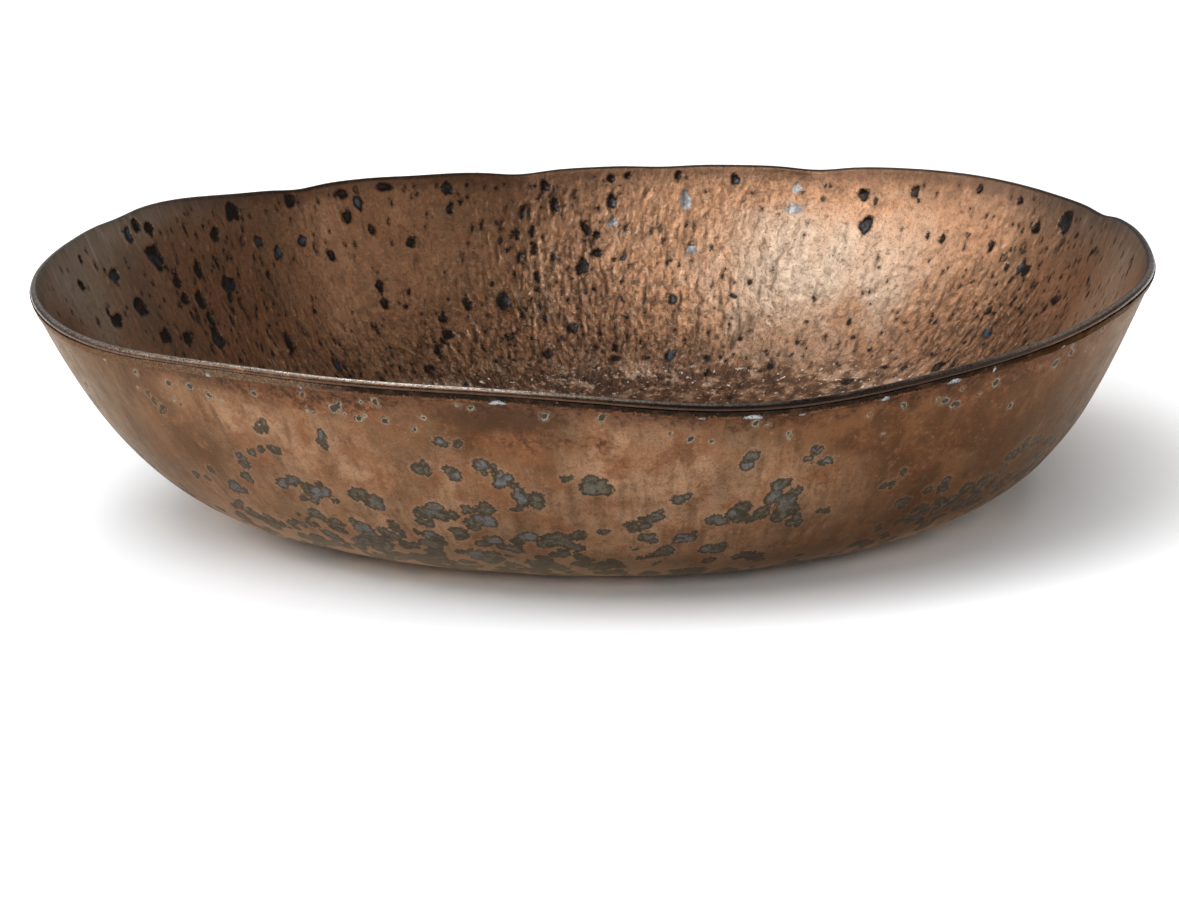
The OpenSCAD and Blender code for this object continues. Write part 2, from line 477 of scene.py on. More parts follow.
# where the lining is coarse, in the same terms
GRIT_PATCHES = [
    (72, 45, 24, 42, 0.55), (98, 60, 12, 32, 0.5), (35, 52, 12, 22, 0.35), (120, 76, 30, 24, 0.4),
    (60, 88, 40, 22, 0.4), (160, 80, 22, 22, 0.3), (-140, 60, 30, 40, 0.4), (-70, 70, 35, 35, 0.5),
    (-10, 70, 25, 30, 0.45),
]
# where the lining is paler and more worn (above 0), or darker (below 0). The patches at 62 and 75 degrees are a
# painted highlight, where the key light shines on the far wall
PALE_AND_HIGHLIGHT_PATCHES = [
    (62, 36, 20, 38, 0.5), (75, 50, 14, 30, 0.15), (122, 30, 16, 26, 0.1), (95, 66, 12, 26, -0.35),
    (150, 60, 22, 60, -0.15), (40, 90, 14, 24, 0.1), (-60, 40, 30, 40, 0.3), (-140, 50, 20, 40, 0.2),
    (0, 0, 400, 5, -0.25), (100, 98, 30, 16, -0.25), (58, 92, 20, 16, 0.1), (8, 24, 16, 50, 0.5),
    (160, 40, 10, 60, -0.3), (178, 16, 9, 26, 0.8),
]
# where the top of the roll is rubbed bright and painted with a highlight, in the same terms
ROLL_WEAR_AND_HIGHLIGHT = [
    (-135, 0, 32, 9, 0.9), (-90, 0, 14, 9, 0.4), (-28, 0, 24, 9, 0.75), (60, 0, 50, 9, 0.3),
    (176, 0, 24, 9, 1), (130, 0, 30, 9, 0.8),
]
# where the ends of the bowl are greyed, inside and outside, in the same terms
INNER_VEIL = [
    (178, 2, 15, 11, 1), (170, 20, 9, 26, 0.35), (2, 16, 14, 45, 0.9), (24, 4, 12, 10, 0.5),
    (160, 2, 14, 5, 0.5),
]
OUTER_VEIL = [
    (-176, 20, 28, 70, 1), (-156, 26, 9, 32, 0.75), (-2, 30, 20, 70, 1), (-24, 26, 10, 36, 0.6),
]
# where the lining is stained dark, in the same terms
INNER_STAIN = [
    (97, 14, 9, 20, 0.5), (88, 4, 20, 9, 0.3), (46, 3, 20, 9, 0.6), (166, 30, 8, 24, 0.25),
    (96, 60, 9, 20, 0.25), (70, 98, 40, 10, 0.12),
]
# how many of each thing are strewn over the lining
HAMMER_MARKS, RUNS, GRIT_BUMPS, PIN_PITS, SMALL_PITS = 620, 1300, 3600, 2800, 520
# extra runs: angle, its spread, between which lengths down, how many
RUN_CLUSTERS = [(97, 5, 28, 70, 70), (36, 6, 32, 74, 60), (84, 9, 44, 76, 70)]
# extra bumps: angle, length down, their spreads, how many
BUMP_CLUSTERS = [(78, 45, 24, 26, 1300), (36, 45, 10, 24, 500), (-60, 50, 40, 30, 500)]


def crowding(angle, drop):
    """How likely a random pit is at a place."""
    return min(1.0, sum((patch(angle, drop, spot) for spot in PIT_CROWDS), PIT_CHANCE))


def pick(rng, low, high):
    """A random place, likelier where pits gather."""
    while True:
        angle, drop = rng.uniform(-180, 180), rng.uniform(low, high)
        if rng.random() < crowding(angle, drop):
            return angle, drop


def paint_inner(grids, rng):
    for grid in grids:
        grid.tint("grit", GRIT_PATCHES)
        grid.tint("warm", PALE_AND_HIGHLIGHT_PATCHES)
        grid.tint("veil", INNER_VEIL)
    seen = grids[:-1]  # all but the roll
    for grid in seen:
        grid.tint("stain_and_roll_highlight", INNER_STAIN)
    # on the roll, the stain field marks rubbed wear and a painted highlight
    grids[-1].tint("stain_and_roll_highlight", ROLL_WEAR_AND_HIGHLIGHT)
    for _ in range(HAMMER_MARKS):  # broad shallow dents and swells
        wide = rng.uniform(11, 30)
        stamp_swell(
            seen, place(rng.uniform(-180, 180), rng.uniform(0, 215)), wide, wide * rng.uniform(0.8, 1.7),
            rng.uniform(-0.3, 0.2), rng.uniform(-1, 1),
        )
    for _ in range(RUNS):
        angle, drop = pick(rng, 8, 118)
        stamp_streak(
            seen, place(angle, drop), rng.uniform(0.9, 2.4), rng.uniform(3, 13),
            rng.uniform(0.2, 0.8), rng.uniform(0.03, 0.16), rng.normal(0, 0.08),
        )
    for at, spread, low, high, count in RUN_CLUSTERS:
        for _ in range(count):
            stamp_streak(
                seen, place(rng.normal(at, spread), rng.uniform(low, high)), rng.uniform(1.2, 2.6),
                rng.uniform(5, 16), rng.uniform(0.5, 1.0), rng.uniform(0.1, 0.3), rng.normal(0, 0.06),
            )
    for _ in range(GRIT_BUMPS):  # thickest at the foot of the wall
        drop = rng.normal(84, 22) if rng.random() < 0.72 else rng.uniform(10, 215)
        size = rng.uniform(1.6, 3.4)
        stamp_swell(
            seen, place(rng.uniform(-180, 180), max(drop, 5)), size, size * rng.uniform(0.8, 1.8),
            rng.uniform(0.06, 0.36), rng.normal(0, 0.3),
        )
    for at, down, turn, fall, count in BUMP_CLUSTERS:
        for _ in range(count):
            size = rng.uniform(1.7, 3.2)
            stamp_swell(
                seen, place(rng.normal(at, turn), float(np.clip(rng.normal(down, fall), 8, 120))), size,
                size * rng.uniform(0.9, 2.0), rng.uniform(-0.2, 0.26), rng.normal(0, 0.25),
            )
    for _ in range(PIN_PITS):
        angle, drop = pick(rng, 1, 205)
        wide = rng.uniform(0.7, 1.4)
        stamp_pit(seen, rng, place(angle, drop), wide, wide * rng.uniform(1, 2), 0.16, BLACK, 0.0, lip=0.04)
    for _ in range(SMALL_PITS):
        angle, drop = pick(rng, 2, 150)
        wide = rng.uniform(1.3, 2.3) if rng.random() < 0.9 else rng.uniform(2.4, 4.0)
        tone = rng.choice(SMALL_TONES)
        tall = wide * rng.uniform(1.0, 2.2)
        stamp_pit(seen, rng, place(angle, drop), wide, tall, min(0.5, wide * 0.17), tone, rng.normal(0, 0.15))
    for angle, drop, wide, tall, *given in LANDMARK_PITS:
        tone = given[0] if given else BLACK
        # the pits painted with the highlight's reflection are shallower
        deep = 0.2 if tone == PEARL_HIGHLIGHT else 0.5
        stamp_pit(seen, rng, place(angle, drop), wide * 0.92, tall * 0.92, deep, tone, rng.normal(0, 0.15))


# ---- The outer skin ----

OUTER_N = 1152
UNDER_GRIDS = 6  # the grids of the flat underside


def outer_grids():
    """The outer skin's rings: (those that are seen, all of them in order from the middle of the underside)."""
    under = [
        (18, [1.5, 3]),
        (36, [5, 8]),
        (72, np.arange(11, 24, 2.4)),
        (144, np.arange(25, 48, 2.2)),
        (288, np.arange(50, 94, 2)),
        (576, [94.5, 96, 97.2, BASE_W / 2]),
    ]
    seen = disc_grids(under, 0.0)
    seen.append(wall_grid(OUTER_N // 2, 0.0, np.linspace(1, 0.66, 42, endpoint=False)[1:]))
    seen.append(wall_grid(OUTER_N, 0.0, np.linspace(0.66, 0, 84)))
    back = [
        Grid(wall_rings(OUTER_N // 2, SHEET_T, shares=[0.0])),
        Grid(wall_rings(OUTER_N // 4, SHEET_T, shares=[0.02])),
        Grid(wall_rings(OUTER_N // 8, SHEET_T, shares=np.linspace(0.05, 1, 20))),
        Grid(disc_rings(OUTER_N // 16, [80.0, 50.0], SHEET_T)),
        Grid(disc_rings(OUTER_N // 32, [25.0], SHEET_T)),
        Grid(disc_rings(OUTER_N // 64, [8.0], SHEET_T)),
    ]
    return seen, seen + back


# clusters of blotches: angle, length down, spread in degrees and in length, how many, and their usual size
BLOTCH_CLUSTERS = [
    (-120, 22, 0.5, 1, 2, 4.5), (-128, 20, 0.5, 2, 2, 4), (-107, 19, 1, 2, 3, 4), (-132, 36, 2, 4, 5, 4.5),
    (-128, 46, 3, 6, 9, 5), (-123, 46, 2, 3, 3, 6.5), (-117, 45, 1, 2, 3, 7), (-108, 31, 1.5, 2, 3, 6),
    (-103, 31, 1.5, 2, 3, 6), (-101, 42, 2.5, 4, 6, 6), (-111, 54, 4, 4, 9, 7), (-121, 60, 5, 5, 9, 6.5),
    (-104, 64, 5, 4, 9, 6.5), (-98, 60, 2.5, 4, 5, 7), (-92, 33, 1, 2, 3, 6.5), (-96, 31, 0.8, 2, 1, 3.5),
    (-89, 54, 2.5, 3, 4, 5.5), (-85, 47, 2, 3, 4, 5.5), (-83, 34, 0.8, 1, 2, 5.5), (-80, 56, 2.5, 4, 6, 6.5),
    (-76, 42, 2.5, 4, 8, 7), (-73, 32, 1.5, 3, 5, 6.5), (-70, 46, 1, 2, 3, 6), (-77, 18, 0.6, 1.5, 2, 5),
    (-69, 20, 1, 3, 3, 4), (-58, 40, 1, 3, 3, 4), (-52, 46, 1.5, 3, 3, 4), (-54, 60, 4, 4, 7, 5),
    (-46, 58, 4, 5, 7, 5), (-40, 50, 3, 5, 4, 4.5), (-32, 60, 5, 7, 7, 5), (-142, 58, 6, 8, 10, 5),
    (-128, 72, 8, 7, 26, 6.5), (-114, 78, 8, 6, 22, 6.5), (-98, 84, 10, 5, 18, 6.5), (-76, 80, 10, 5, 16, 6),
    (-50, 70, 8, 6, 7, 5), (-136, 64, 4, 5, 10, 6), (-44, 54, 2, 2, 5, 6), (-38, 44, 1.5, 3, 3, 5),
    (-35, 62, 5, 3, 9, 5.5), (-30, 50, 3, 4, 5, 5), (-141, 17, 1.5, 2, 6, 2.4), (-165, 55, 8, 12, 12, 5.5),
    (-15, 62, 10, 10, 14, 6), (12, 55, 10, 12, 14, 6), (40, 60, 12, 12, 20, 6.5), (70, 50, 12, 14, 22, 6.5),
    (100, 58, 12, 12, 20, 6.5), (130, 52, 12, 14, 20, 6.5), (160, 60, 12, 12, 18, 6),
    (55, 24, 30, 10, 8, 5), (120, 22, 30, 8, 8, 5),
]
# blotches strewn anywhere around: how many, and between which lengths down
BLOTCH_BELTS = [(520, 60, 100), (620, 76, 120), (420, 120, 220)]
RAISING_SWELLS, PALE_RINGS = 300, 150  # how many of each
# how tan (above 0) or how dark brown (below 0) the outside is: angle, length down, their spreads, amount.
# Partly patina, partly painted light on the left, where the lamps are, and painted shade on the right
TAN_AND_LIGHT_PATCHES = [
    (-118, 42, 12, 36, 0.6), (-86, 60, 18, 24, 0.3), (-141, 28, 9, 22, -0.25), (-130, 74, 18, 20, 0.5),
    (-104, 16, 12, 10, -0.35), (-40, 40, 25, 60, -1), (-88, 90, 34, 14, 0.4), (-62, 56, 8, 20, 0.2),
    (-143, 20, 9, 16, -0.15), (-160, 30, 16, 50, -0.3), (30, 50, 22, 40, 0.35), (80, 40, 18, 50, -0.25),
    (125, 45, 20, 40, 0.4), (0, 95, 400, 30, 0.25), (-122, 7, 9, 6, -0.3), (-48, 80, 16, 22, 0.5),
]
# where the outside is flushed red, and where it is stained dark, in the same terms
RED_PATCHES = [
    (-119, 6, 7, 6, 1), (-97, 15, 9, 6, 0.45), (-60, 26, 22, 20, 0.25), (-131, 4, 6, 4, 0.5),
    (-40, 8, 14, 5, 0.5), (60, 6, 20, 5, 0.5), (150, 6, 25, 5, 0.6),
]
DARK_PATCHES = [
    (-101, 8, 9, 7, 0.85), (-148, 12, 10, 14, 0.4), (-36, 32, 15, 34, 0.42), (-16, 30, 14, 40, 0.55),
    (20, 8, 20, 7, 0.5), (110, 8, 15, 7, 0.6),
]


def paint_outer(seen, rng):
    for grid in seen:
        grid.tint("warm", TAN_AND_LIGHT_PATCHES)
        grid.fields["grit"][:] = 0
        grid.tint("grit", RED_PATCHES)
        grid.tint("stain_and_roll_highlight", DARK_PATCHES)
        grid.tint("veil", OUTER_VEIL)
    for _ in range(RAISING_SWELLS):  # broad and very shallow
        wide = rng.uniform(18, 50)
        stamp_swell(
            seen[UNDER_GRIDS:], place(rng.uniform(-180, 180), rng.uniform(0, 125), 0.0), wide,
            wide * rng.uniform(0.8, 1.4), rng.uniform(-0.2, 0.2), rng.uniform(-1, 1),
        )
    for angle, drop, turn, fall, count, size in BLOTCH_CLUSTERS:
        for _ in range(count):
            spot = place(rng.normal(angle, turn), float(np.clip(rng.normal(drop, fall), 4, 190)), 0.0)
            wide = size * rng.uniform(0.7, 1.2)
            stamp_blotch(seen, rng, spot, wide, rng.integers(3, 7), rng.uniform(0.2, 1.0))
    for count, low, high in BLOTCH_BELTS:
        for _ in range(count):
            spot = place(rng.uniform(-180, 180), rng.uniform(low, high), 0.0)
            stamp_blotch(seen, rng, spot, rng.uniform(2.0, 6.5), rng.integers(3, 7), rng.uniform(0.0, 0.7))
    for _ in range(PALE_RINGS):  # small, and near the rim
        spot = place(rng.uniform(-180, 180), 3.0 + abs(rng.normal(0, 7)), 0.0)
        wide = rng.uniform(1.0, 2.8)
        stamp_pit(seen, rng, spot, wide, wide * rng.uniform(0.8, 1.4), 0.05, RING, rng.uniform(-1, 1), lip=0.03)


# ---- The rim band ----

BAND_N = 1152
# where the band is brown (above 0) or stays dark (below 0): angle, share of the way down, spreads, amount
BAND_BROWN_PATCHES = [
    (-165, 0.5, 30, 9, 1), (-128, 0.5, 12, 9, 0.8), (165, 0.5, 40, 9, 0.9), (60, 0.5, 50, 9, 0.5),
    (-20, 0.5, 24, 9, -1),
]
# pale flakes on the band's lower edge, in the same terms
BAND_FLAKES = [
    (-132, 0.8, 0.5, 0.5, 0.8), (-121, 0.9, 0.4, 0.4, 0.8), (-101, 0.9, 0.9, 0.5, 1.2),
    (-82, 1, 0.5, 0.4, 0.9), (-77, 0.9, 1.1, 0.5, 1.3), (-72, 1, 0.5, 0.4, 0.9), (-63, 0.8, 0.6, 0.5, 1),
    (-55, 0.8, 0.9, 0.5, 1.2), (-50, 0.6, 0.4, 0.5, 0.9), (-40, 0.9, 0.5, 0.4, 0.8),
]


def small_waves(rng, turn, low, high, orders):
    return sum(rng.uniform(low, high) * np.cos(k * turn + rng.uniform(0, 6.3)) for k in orders)


def band_grids(rng):
    """The strip over the seam. Its lower edge is slightly ragged and its thickness uneven."""
    turn = np.radians(around(BAND_N))
    ragged = small_waves(rng, turn, 0.02, 0.09, (9, 14, 23, 31, 47, 60, 83, 120, 166))
    thick = np.clip(BAND_T + 0.05 * small_waves(rng, turn, 0.3, 1, (5, 11, 19, 37, 71)), 0.25, 0.62)
    foot = BAND_BELOW + ragged
    head = -BAND_ABOVE + 0.4 * ragged
    # the strip's outline: shares of the way down it and of the way out from the wall
    loop = [
        (0.0, 0.0), (0.0, 0.55), (0.02, 0.85), (0.08, 1.0), (0.3, 1.0), (0.55, 1.0), (0.8, 1.0), (0.92, 0.95),
        (0.98, 0.7), (1.0, 0.4), (1.0, 0.0), (0.5, 0.0),
    ]
    rings = []
    for down, out in loop:
        drop = head + (foot - head) * down
        inner = wall_rings(BAND_N, -BAND_FIT, drops=drop[None])[0]
        outer = wall_rings(BAND_N, -(BAND_FIT + BAND_T), drops=drop[None])[0]
        rings.append(inner + (outer - inner) * (out * thick / BAND_T)[:, None])
    grid = Grid(np.array(rings), drop=np.array([[down for down, _ in loop]]).T)
    grid.fields["warm"][:] = 0
    grid.tint("warm", BAND_BROWN_PATCHES)
    grid.fields["grit"][:] = 0
    grid.tint("grit", BAND_FLAKES)
    return [grid]


# ---- Materials ----


class Shade:
    """Short ways to wire a procedural material."""

    def __init__(self, name):
        self.material = bpy.data.materials.new(name)
        self.material.use_nodes = True
        self.tree = self.material.node_tree
        self.tree.nodes.clear()
        self.mm = self.vector("SCALE", self.node("TexCoord").outputs["Object"], Scale=1 / MM)

    def node(self, kind, inputs=None, **settings):
        made = self.tree.nodes.new("ShaderNode" + kind)
        for key, value in settings.items():
            setattr(made, key, value)
        for key, value in (inputs or {}).items():
            if isinstance(value, bpy.types.NodeSocket):
                self.tree.links.new(value, made.inputs[key])
            else:
                made.inputs[key].default_value = value
        return made

    def math(self, operation, a, b, clamp=False):
        return self.node("Math", {0: a, 1: b}, operation=operation, use_clamp=clamp).outputs[0]

    def times(self, a, b, clamp=False):
        return self.math("MULTIPLY", a, b, clamp)

    def plus(self, a, b):
        return self.math("ADD", a, b)

    def minus(self, a, b):
        return self.math("SUBTRACT", a, b)

    def rest(self, value):
        """What a value leaves of 1."""
        return self.minus(1, value)

    def swing(self, noise, much):
        """A noise, moved to swing about 0, by up to half of much."""
        return self.times(self.minus(noise, 0.5), much)

    def vector(self, operation, a, **inputs):
        """A vector node, with its second vector as b or its scale."""
        named = {1 if key == "b" else key: value for key, value in inputs.items()}
        return self.node("VectorMath", {0: a, **named}, operation=operation).outputs[0]

    def field(self, name, output="Fac"):
        return self.node("Attribute", attribute_name=name).outputs[output]

    def fields(self, *names):
        return [self.field(name) for name in names]

    def grain(self, up):
        """Coordinates that run up the wall, scaled by a factor that way."""
        return self.vector("MULTIPLY", self.field("grain", "Vector"), b=(1, 1, up))

    def noise(self, scale, detail=3, rough=0.55, distort=0, at=None):
        """A noise in millimetres, or in the coordinates it is given."""
        inputs = {"Vector": at or self.mm, "Scale": scale, "Detail": detail, "Roughness": rough}
        return self.node("TexNoise", {**inputs, "Distortion": distort}).outputs["Fac"]

    def beads(self, vector, scale):
        """Rounded beads: about 0 in the middle of each, and about 0.5 between them."""
        inputs = {"Vector": vector, "Scale": scale, "Smoothness": 0.6}
        return self.node("TexVoronoi", inputs, feature="SMOOTH_F1").outputs["Distance"]

    def warp(self, vector, scale, much):
        """Coordinates pushed about by a noise, by up to half of much."""
        push = self.node("TexNoise", {"Vector": vector, "Scale": scale, "Detail": 2.0})
        push = self.vector("SUBTRACT", push.outputs["Color"], b=(0.5, 0.5, 0.5))
        return self.vector("ADD", vector, b=self.vector("SCALE", push, Scale=much))

    def ramp(self, value, low, high, out_low=0.0, out_high=1.0):
        """A smooth step between two values."""
        inputs = {"Value": value, "From Min": low, "From Max": high, "To Min": out_low, "To Max": out_high}
        return self.node("MapRange", inputs, interpolation_type="SMOOTHSTEP").outputs[0]

    def blend(self, factor, a, b):
        a, b = ((*side, 1.0) if isinstance(side, tuple) else side for side in (a, b))
        return self.node("Mix", {0: factor, 6: a, 7: b}, data_type="RGBA").outputs[2]

    def lay(self, factor, colour):
        """Lays a colour over what is there, as far as the factor says."""
        self.colour = self.blend(factor, self.colour, colour)

    def bump(self, height, distance, strength):
        inputs = {"Height": height, "Distance": distance * MM, "Strength": strength}
        return self.node("Bump", inputs).outputs[0]

    def finish(self, **inputs):
        named = {key.replace("_", " "): value for key, value in inputs.items()}
        shader = self.node("BsdfPrincipled", named).outputs[0]
        self.node("OutputMaterial", {"Surface": shader})
        return self.material


# the lining's colours
TAN = (0.5, 0.254, 0.13)
BROWN = (0.32, 0.148, 0.069)
RED = (0.38, 0.148, 0.068)
OLIVE = (0.225, 0.139, 0.074)
DEEP = (0.072, 0.035, 0.019)
SOOT = (0.024, 0.017, 0.014)
SLATE = (0.06, 0.07, 0.083)
# pale grey, a painted reflection of the highlight in pits
PEARLY_HIGHLIGHT = (0.29, 0.265, 0.25)
# pale copper, and the colour of the painted highlight
PALE_AND_HIGHLIGHT = (0.58, 0.435, 0.315)
SAND = (0.62, 0.42, 0.28)
# near white, for painted glints
PAINTED_GLINT = (0.95, 0.8, 0.68)
ASH = (0.53, 0.41, 0.3)
PALE_ASH = (0.76, 0.67, 0.56)
# dark patina, and painted shade on the roll
ROLL_DARK_AND_SHADE = (0.022, 0.014, 0.01)
# rubbed copper, and the colour of the roll's painted highlight
RUBBED_AND_HIGHLIGHT = (0.74, 0.63, 0.53)
# the colours of the outside
BARK = (0.092, 0.039, 0.017)
CLAY = (0.38, 0.218, 0.125)
RUSSET = (0.2, 0.077, 0.033)
UMBER = (0.085, 0.043, 0.022)
DRAB = (0.15, 0.092, 0.05)
PEAT = (0.075, 0.037, 0.019)
RUST = (0.235, 0.105, 0.046)
STRAW = (0.42, 0.25, 0.15)
PORE = (0.08, 0.042, 0.023)
DUST = (0.07, 0.036, 0.02)
FLUSH = (0.21, 0.08, 0.036)
FLUSH_DARK = (0.05, 0.024, 0.016)
STAIN = (0.05, 0.025, 0.015)
RIM_BROWN = (0.09, 0.038, 0.021)
RIM_BLACK = (0.025, 0.015, 0.011)
VEIL_LIGHT = (0.108, 0.08, 0.052)
VEIL_DARK = (0.052, 0.037, 0.025)
# pale, for painted light on the foot
FOOT_PAINTED_LIGHT = (0.84, 0.61, 0.42)
HALO = (0.36, 0.25, 0.175)
GROWTH_EDGE = (0.034, 0.027, 0.017)
GROWTH_CORE = (0.108, 0.096, 0.07)
GROWTH_BLUE = (0.15, 0.16, 0.176)
GROWTH_LOW = (0.42, 0.37, 0.265)
RING_PALE = (0.3, 0.28, 0.2)
RING_DARK = (0.045, 0.037, 0.03)
# the colours of the band and the wire
BAND_BLACK = (0.012, 0.008, 0.006)
BAND_BROWN = (0.05, 0.025, 0.014)
BAND_RED = (0.2, 0.088, 0.042)
BAND_DARK = (0.06, 0.03, 0.018)
BAND_LIGHT_BROWN = (0.17, 0.105, 0.066)
BAND_MID_BROWN = (0.075, 0.045, 0.029)
BAND_SPECK = (0.24, 0.2, 0.16)
FLAKE = (0.34, 0.36, 0.37)
FLAKE_DARK = (0.12, 0.12, 0.12)
WIRE_LIGHT = (0.62, 0.33, 0.19)
WIRE_DARK = (0.42, 0.2, 0.11)


def pitted_copper():
    s = Shade("pitted_copper")
    names = ("warm", "grit", "pit", "roll", "drop", "tone", "stain_and_roll_highlight")
    warm, grit, pit, roll, drop, tone, stain_and_highlight = s.fields(*names)
    runs = s.noise(0.42, 3, 0.6, at=s.grain(0.35))
    streaks = s.noise(0.4, 4, 0.6, at=s.grain(0.09))
    patches = s.noise(0.022, 4, 0.6, 0.6)
    spots = s.noise(0.16, 4, 0.65)
    mottle = s.noise(0.34, 4, 0.6, 0.4)
    pores = s.noise(1.05, 2, 0.55)
    dust = s.noise(2, 2, 0.6)
    beads = s.beads(s.warp(s.grain(0.7), 0.35, 3), 0.45)
    specks = s.noise(0.75, 3, 0.6)
    patina_and_light_level = s.plus(warm, s.swing(patches, 1.3))
    s.colour = s.blend(s.ramp(patina_and_light_level, 0.15, 0.85), BROWN, TAN)
    s.lay(s.ramp(spots, 0.45, 0.75, 0, 0.4), RED)
    s.lay(s.ramp(s.noise(0.05, 3), 0.5, 0.75, 0, 0.5), OLIVE)
    # paler where the field is high: pale worn patina, and a painted highlight on the far wall
    s.lay(s.ramp(patina_and_light_level, 0.7, 1.3, 0, 0.95), PALE_AND_HIGHLIGHT)
    s.lay(s.ramp(streaks, 0.52, 0.8, 0, 0.35), DEEP)
    rough_zone = s.ramp(grit, 0.25, 0.9, 0.3, 1)
    low = s.ramp(s.plus(drop, s.swing(spots, 40)), 30, 80)
    # painted shade in the hollows between the beads
    gap_shade = s.times(s.ramp(beads, 0.32, 0.52), s.ramp(mottle, 0.44, 0.58))
    gap_shade_share = s.ramp(patina_and_light_level, 0.5, 1, 0.75, 0.2)
    s.lay(s.times(gap_shade, s.times(rough_zone, gap_shade_share)), DEEP)
    # painted highlight on the crowns of the beads
    crown_highlight = s.times(s.ramp(beads, 0.26, 0.05), s.ramp(mottle, 0.56, 0.44))
    s.lay(s.times(crown_highlight, s.times(rough_zone, 0.55)), PALE_AND_HIGHLIGHT)
    s.lay(s.ramp(specks, 0.57, 0.68, 0, 0.5), DEEP)
    s.lay(s.times(s.ramp(specks, 0.42, 0.34, 0, 0.7), rough_zone), PALE_AND_HIGHLIGHT)
    s.lay(s.ramp(mottle, 0.52, 0.68, 0, 0.4), OLIVE)
    s.lay(s.times(s.ramp(runs, 0.53, 0.66, 0, 0.7), low), DEEP)
    s.lay(s.times(s.ramp(pores, 0.61, 0.70, 0, 0.6), rough_zone), DEEP)
    s.lay(s.ramp(dust, 0.45, 0.7, 0, 0.3), DEEP)
    s.lay(s.times(stain_and_highlight, s.ramp(runs, 0.35, 0.55, 0.45, 1)), DEEP)
    fading = s.plus(drop, s.swing(patches, 120))
    foot = s.times(s.ramp(drop, 70, 92), s.ramp(fading, 230, 115))
    gloom = s.ramp(s.noise(0.075, 3, 0.6, 0.5), 0.42, 0.60, 0, 0.42)
    s.lay(s.times(gloom, foot), DEEP)
    s.lay(s.times(s.ramp(spots, 0.47, 0.58, 0, 0.7), foot), DEEP)
    s.lay(s.times(s.ramp(spots, 0.48, 0.38, 0, 0.8), foot), SAND)
    # painted glints on the coarse foot of the wall
    painted_glints = s.times(s.ramp(s.noise(0.5, 2, 0.6), 0.37, 0.33), foot)
    s.lay(s.times(painted_glints, 0.9), PAINTED_GLINT)
    # painted shade on the lining just under the rim
    under_rim_shade = s.ramp(s.plus(drop, s.swing(spots, 9)), 5, 0.5)
    s.lay(s.times(under_rim_shade, 0.5), DEEP)
    strokes = s.noise(0.55, 3, 0.6, at=s.grain(0.14))
    veil = s.times(s.field("veil"), s.ramp(streaks, 0.35, 0.6, 0.6, 1), clamp=True)
    veiled = s.blend(s.ramp(strokes, 0.54, 0.68), ASH, PALE_ASH)
    s.lay(s.times(veil, 0.75), veiled)
    edge = s.plus(pit, s.swing(pores, 1.7))
    s.lay(s.times(s.ramp(edge, -0.9, -0.2), s.ramp(tone, 1.8, 1.2, 0, 0.35)), DEEP)
    shallow = s.ramp(tone, -0.3, -0.7)
    fill = s.times(s.ramp(edge, -0.35, 0.35), s.rest(s.times(shallow, s.ramp(edge, 0.2, 0.7, 0.25, 0.6))))
    patina = s.plus(tone, s.swing(mottle, 2.4))
    patina = s.times(s.ramp(patina, 0.4, 1), s.ramp(edge, 0.1, 1.3))
    hollow = s.blend(patina, SOOT, SLATE)
    hollow = s.blend(s.times(s.ramp(mottle, 0.52, 0.66, 0, 0.6), s.ramp(tone, 0.9, 0.3)), hollow, DEEP)
    # pale grey where the highlight falls: a painted reflection of the highlight in the pits
    pearl_highlight = s.times(s.ramp(tone, 1.4, 1.8), s.ramp(mottle, 0.6, 0.42, 0.45, 1))
    hollow = s.blend(s.times(pearl_highlight, s.ramp(edge, -0.2, 0.6, 0.6, 1)), hollow, PEARLY_HIGHLIGHT)
    s.lay(fill, hollow)
    # the roll is near black: dark patina, and painted shade on its outer side
    roll_patina_and_shade = s.times(s.ramp(roll, 0.05, 0.4), s.ramp(stain_and_highlight, 0.3, 0.8, 0.85, 0.1))
    s.lay(roll_patina_and_shade, ROLL_DARK_AND_SHADE)
    # the top of the roll: rubbed copper and a painted highlight
    lightened = s.times(s.ramp(roll, 0.5, 0.75), s.ramp(roll, 1.35, 1.1))
    lightened = s.times(lightened, s.ramp(s.plus(stain_and_highlight, s.times(spots, 0.8)), 0.35, 1))
    s.lay(s.times(lightened, s.ramp(pores, 0.6, 0.4, 0.5, 1)), RUBBED_AND_HIGHLIGHT)
    rough = s.plus(s.ramp(spots, 0.3, 0.7, 0.38, 0.48), s.ramp(grit, 0.3, 0.9, 0, 0.06))
    rough = s.minus(rough, s.times(fill, 0.12))
    rough = s.minus(rough, s.ramp(roll, 0.2, 0.6, 0, 0.14))
    height = s.plus(s.times(beads, -0.7), s.times(specks, -0.35))
    height = s.plus(height, s.times(s.plus(mottle, s.times(pores, 0.3)), -0.5))
    height = s.times(height, rough_zone)
    height = s.plus(height, s.times(s.times(runs, low), -0.5))
    height = s.plus(height, s.times(dust, -0.2))
    normal = s.bump(height, 0.5, 0.9)
    sheen = s.times(s.rest(fill), 0.25)
    return s.finish(
        Base_Color=s.colour, Metallic=s.ramp(fill, 0, 1, 1, 0.92), Roughness=rough, Normal=normal,
        Coat_Weight=sheen, Coat_Roughness=0.34, Coat_Normal=normal,
    )


